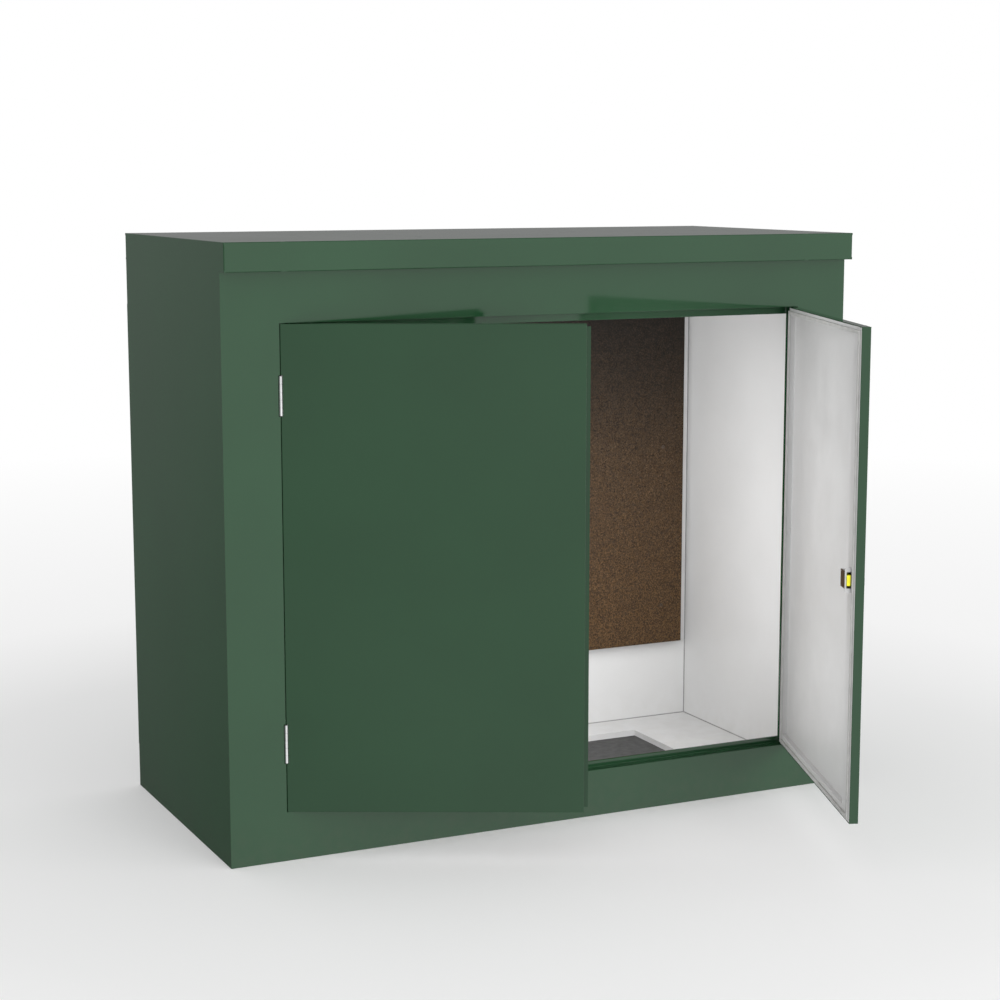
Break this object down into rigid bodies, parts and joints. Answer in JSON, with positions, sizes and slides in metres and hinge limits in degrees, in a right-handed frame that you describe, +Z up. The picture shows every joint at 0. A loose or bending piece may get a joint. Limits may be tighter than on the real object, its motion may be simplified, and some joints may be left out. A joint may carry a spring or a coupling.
{
  "type": "outdoor electrical service cabinet",
  "caption": "Floor-standing green glass-fibre cabinet for outdoor electrical equipment, with a pair of hinged doors, white lining, backboard and a cable aperture in the floor.",
  "frame": {"origin": "middle of the base in plan, between the plinth bolts, in the plane that the cabinet stands on", "axes": "+Z up, +X to the right seen from the doors, +Y towards the back; the doors face -Y"},
  "size_m": [1.5, 1.2686, 1.3],
  "materials": {
    "green_shell": "glossy green gel coat on glass-fibre laminate",
    "green_door": "glossy green gel coat on glass-fibre laminate",
    "white_lining": "light grey-white flow coat, satin",
    "white_floor": "light grey-white flow coat, satin",
    "white_door": "light grey-white flow coat, satin",
    "seal_rubber": "solid EPDM, pale grey",
    "backboard_ply": "speckled brown board, film faced",
    "batten_wood": "sawn softwood",
    "hinge_steel": "bright stainless steel",
    "screw_brown": "brown organic coating on steel",
    "screw_zinc": "zinc plated",
    "shoot_bolt_steel": "zinc plated",
    "lock_zinc": "die-cast zinc, satin",
    "lock_forend_paint": "pale grey enamel",
    "lock_cover_bronze": "dark bronze lacquer",
    "bolt_brass": "bright yellow brass"
  },
  "bodies": {
    "cabinet": {"left_side_panel": "green_shell", "right_side_panel": "green_shell", "rear_panel": "green_shell", "roof_panel": "green_shell", "roof_fascia": "green_shell", "front_panel": "green_shell", "door_rebate": "green_shell", "door_lip": "green_shell", "front_lining": "white_lining", "left_wall_lining": "white_lining", "right_wall_lining": "white_lining", "rear_wall_lining": "white_lining", "roof_lining": "white_lining", "floor_panel": "white_floor", "backboard_battens": "batten_wood", "backboard": "backboard_ply", "backboard_screws": "screw_brown", "left_frame_hinge_plates": "hinge_steel", "right_frame_hinge_plates": "hinge_steel", "left_hinge_pins": "hinge_steel", "right_hinge_pins": "hinge_steel", "left_frame_hinge_screws": "screw_zinc", "right_frame_hinge_screws": "screw_zinc"},
    "left_door": {"left_door_skin": "green_door", "left_door_edge": "green_door", "left_door_panel": "white_door", "left_door_rim": "white_door", "meeting_stile": "white_door", "left_door_seal": "seal_rubber", "left_door_hinge_plates": "hinge_steel", "left_door_hinge_screws": "screw_zinc", "meeting_strip": "green_door", "meeting_strip_screws": "screw_zinc", "lock_keeper": "lock_zinc", "lock_keeper_screws": "screw_zinc", "shoot_bolt_guides": "shoot_bolt_steel", "shoot_bolt_guide_screws": "screw_zinc"},
    "upper_bolt": {"top_shoot_bolt": "shoot_bolt_steel"},
    "lower_bolt": {"bottom_shoot_bolt": "shoot_bolt_steel"},
    "right_door": {"right_door_skin": "green_door", "right_door_edge": "green_door", "right_door_panel": "white_door", "right_door_rim": "white_door", "lock_stile": "white_door", "right_door_seal": "seal_rubber", "right_door_hinge_plates": "hinge_steel", "right_door_hinge_screws": "screw_zinc", "lock_case": "lock_zinc", "lock_case_screws": "screw_zinc", "lock_forend": "lock_forend_paint", "lock_cover": "lock_cover_bronze", "lock_cover_screws": "screw_zinc", "lock_escutcheon": "lock_zinc"},
    "barrel": {"lock_barrel": "lock_zinc"},
    "bolt": {"lock_bolt": "bolt_brass"}
  },
  "joints": [
    {"name": "left_door_hinge", "type": "hinge", "parent": "cabinet", "child": "left_door", "pos_m": [-0.6249, -0.3415, 0.62], "axis": [0, 0, -1], "range_deg": [-26, 144]},
    {"name": "right_door_hinge", "type": "hinge", "parent": "cabinet", "child": "right_door", "pos_m": [0.6249, -0.3415, 0.62], "axis": [0, 0, 1], "range_deg": [-70, 100]},
    {"name": "upper_bolt_slide", "type": "slide", "parent": "left_door", "child": "upper_bolt", "axis": [0, 0, 1], "range_m": [0, 0.03]},
    {"name": "lower_bolt_slide", "type": "slide", "parent": "left_door", "child": "lower_bolt", "axis": [0, 0, -1], "range_m": [0, 0.03]},
    {"name": "lock_barrel_turn", "type": "hinge", "parent": "right_door", "child": "barrel", "pos_m": [0.42336, -0.89377, 0.616], "axis": [0.9397, -0.342, 0], "range_deg": [0, 90]},
    {"name": "lock_bolt_slide", "type": "slide", "parent": "right_door", "child": "bolt", "axis": [-0.342, -0.9397, 0], "range_m": [0, 0.018]}
  ],
  "couplings": [
    {"joint": "lock_barrel_turn", "follows": "lock_bolt_slide", "rad_per_m": 87.266}
  ]
}
